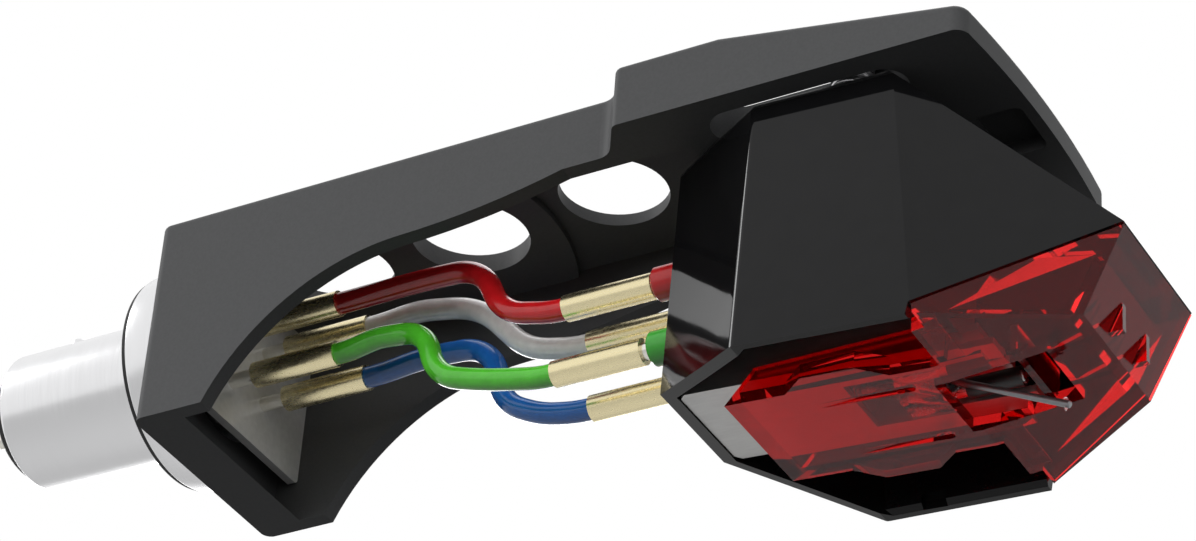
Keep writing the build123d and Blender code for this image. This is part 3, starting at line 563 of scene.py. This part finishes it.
# %% [markdown]
# Each coil is fine enamelled wire wound on a pole piece. The CAD has a plain sleeve for it.
# One turn could be modelled and arrayed, but a real winding is a single helix, and the
# Spiral node gives that when its start and end radius are the same. The four coils stand
# on the corners of a grid, so the helix is instanced on a two by two Mesh Grid.

# %% Coil windings
enamelled_copper = finish("enamelled_copper", (0.52, 0.17, 0.06), 0.24, metallic=0.8, grain=5,
                          tint=0.12, Coat_Weight=0.5)
wear(enamelled_copper, "coils")
COIL_LOW, COIL_HIGH = (Vector(corner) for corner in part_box("coils"))
COIL_RADIUS = 1.2 * MM
WIRE_RADIUS = 0.09 * MM
END_MARGIN = 2 * WIRE_RADIUS
PITCH = 2.05 * WIRE_RADIUS  # turns would touch at 2
HELIX_CUTS = 24
WIRE_CUTS = 6
winding_length = COIL_HIGH.x - COIL_LOW.x - 2 * END_MARGIN
winding = {
    "Wire Radius": WIRE_RADIUS,
    "Winding Radius": COIL_RADIUS,
    "Length": winding_length,
    "Turns": winding_length / PITCH,
    "Across": COIL_HIGH.y - COIL_LOW.y - 2 * COIL_RADIUS,
    "Up": COIL_HIGH.z - COIL_LOW.z - 2 * COIL_RADIUS,
    "Middle": (COIL_LOW.x + END_MARGIN, 0.0, (COIL_LOW.z + COIL_HIGH.z) / 2),
}
wind, wind_sockets, given = recipe("winding", winding)
helix = step(wind, "GeometryNodeCurveSpiral", Resolution=HELIX_CUTS,
             Rotations=given.outputs["Turns"], Start_Radius=given.outputs["Winding Radius"],
             End_Radius=given.outputs["Winding Radius"], Height=given.outputs["Length"])
wire = step(wind, "GeometryNodeCurvePrimitiveCircle", Resolution=WIRE_CUTS,
            Radius=given.outputs["Wire Radius"])
wound = step(wind, "GeometryNodeCurveToMesh", Curve=helix.outputs[0],
             Profile_Curve=wire.outputs[0], Fill_Caps=True)
along_x = step(wind, "GeometryNodeTransform", Geometry=wound.outputs[0],
               Rotation=(0, math.pi / 2, 0))
grid = step(wind, "GeometryNodeMeshGrid", Size_X=given.outputs["Across"],
            Size_Y=given.outputs["Up"], Vertices_X=2, Vertices_Y=2)
upright = step(wind, "GeometryNodeTransform", Geometry=grid.outputs[0],
               Translation=given.outputs["Middle"], Rotation=(math.pi / 2, 0, math.pi / 2))
coils = step(wind, "GeometryNodeInstanceOnPoints", Points=upright.outputs[0],
             Instance=along_x.outputs[0])
close(wind, coils.outputs[0], enamelled_copper)
grow("coil_windings", wind, wind_sockets, winding, "mounted_cartridge")

# %% [markdown]
# The two mounting screws sit in the tray on top, where the photo doesn't show them. They
# are turned pieces with ridges round a low head, a hexagon socket and a thread. Ridges and
# thread repeat, so the screw is one tree, instanced at both ends of a line. It stands for
# the plain CAD screws, whose heads are a little higher.

# %% Mounting screws
SCREW_LOW, SCREW_HIGH = (Vector(corner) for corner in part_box("mounting_screws"))
CAD_HEAD_RADIUS = 1.75 * MM
HEAD_RADIUS = 1.45 * MM
HEAD_HEIGHT = 0.8 * MM
RIDGES = 28
RIDGE_SHARE = 0.8  # of the head's height
THREAD_PITCH = 0.45 * MM
HEAD_CUTS = 48
SHANK_CUTS = 32
head_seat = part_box("screw_washers")[1][2]
shank_length = head_seat - SCREW_LOW.z
screw_reach = SCREW_HIGH.y - CAD_HEAD_RADIUS
screw = {
    "Head Radius": HEAD_RADIUS,
    "Head Height": HEAD_HEIGHT,
    "Ridges": RIDGES,
    "Ridge Radius": 0.08 * MM,
    "Socket Radius": 0.80 * MM,
    "Shank Radius": 0.98 * MM,
    "Shank Length": shank_length,
    "Threads": shank_length / THREAD_PITCH,
    "Thread Radius": 0.17 * MM,
    "Far Screw": ((SCREW_LOW.x + SCREW_HIGH.x) / 2, -screw_reach, head_seat),
    "Spacing": (0.0, 2 * screw_reach, 0.0),
}
turn, turn_sockets, given = recipe("turned_screw", screw)
head_height = given.outputs["Head Height"]
shank = given.outputs["Shank Length"]
half_head = along_z(turn, times(turn, head_height, 0.5))
blank = step(turn, "GeometryNodeMeshCylinder", Vertices=HEAD_CUTS,
             Radius=given.outputs["Head Radius"], Depth=head_height)
blank_up = step(turn, "GeometryNodeTransform", Geometry=blank.outputs[0],
                Translation=half_head)
key = step(turn, "GeometryNodeMeshCylinder", Vertices=6, Radius=given.outputs["Socket Radius"],
           Depth=head_height)
key_up = step(turn, "GeometryNodeTransform", Geometry=key.outputs[0],
              Translation=along_z(turn, head_height))
head = step(turn, "GeometryNodeMeshBoolean", {"operation": "DIFFERENCE"},
            Mesh_1=blank_up.outputs[0], Mesh_2=key_up.outputs[0])
ring = step(turn, "GeometryNodeMeshCircle", Vertices=given.outputs["Ridges"],
            Radius=given.outputs["Head Radius"])
ring_up = step(turn, "GeometryNodeTransform", Geometry=ring.outputs[0], Translation=half_head)
ridge = step(turn, "GeometryNodeMeshCylinder", Vertices=8, Radius=given.outputs["Ridge Radius"],
             Depth=times(turn, head_height, RIDGE_SHARE))
ridges = step(turn, "GeometryNodeInstanceOnPoints", Points=ring_up.outputs[0],
              Instance=ridge.outputs[0])
core = step(turn, "GeometryNodeMeshCylinder", Vertices=SHANK_CUTS,
            Radius=given.outputs["Shank Radius"], Depth=shank)
core_down = step(turn, "GeometryNodeTransform", Geometry=core.outputs[0],
                 Translation=along_z(turn, times(turn, shank, -0.5)))
spiral = step(turn, "GeometryNodeCurveSpiral", Resolution=HELIX_CUTS,
              Rotations=given.outputs["Threads"], Start_Radius=given.outputs["Shank Radius"],
              End_Radius=given.outputs["Shank Radius"], Height=shank)
crest = step(turn, "GeometryNodeCurvePrimitiveCircle", Resolution=4,
             Radius=given.outputs["Thread Radius"])
thread = step(turn, "GeometryNodeCurveToMesh", Curve=spiral.outputs[0],
              Profile_Curve=crest.outputs[0], Fill_Caps=True)
thread_down = step(turn, "GeometryNodeTransform", Geometry=thread.outputs[0],
                   Translation=along_z(turn, times(turn, shank, -1.0)))
one = step(turn, "GeometryNodeJoinGeometry")
for part in (head, ridges, core_down, thread_down):
    turn.links.new(part.outputs[0], one.inputs[0])
line = step(turn, "GeometryNodeMeshLine", Count=2, Start_Location=given.outputs["Far Screw"],
            Offset=given.outputs["Spacing"])
pair = step(turn, "GeometryNodeInstanceOnPoints", Points=line.outputs[0],
            Instance=one.outputs[0])
close(turn, pair.outputs[0], screw_steel)
screws = grow("threaded_screws", turn, turn_sockets, screw, "mounted_cartridge")
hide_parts("mounting_screws")

# %% [markdown]
# The last cell only marks the end of the frame.

# %% End of the frame
print("end of the frame")
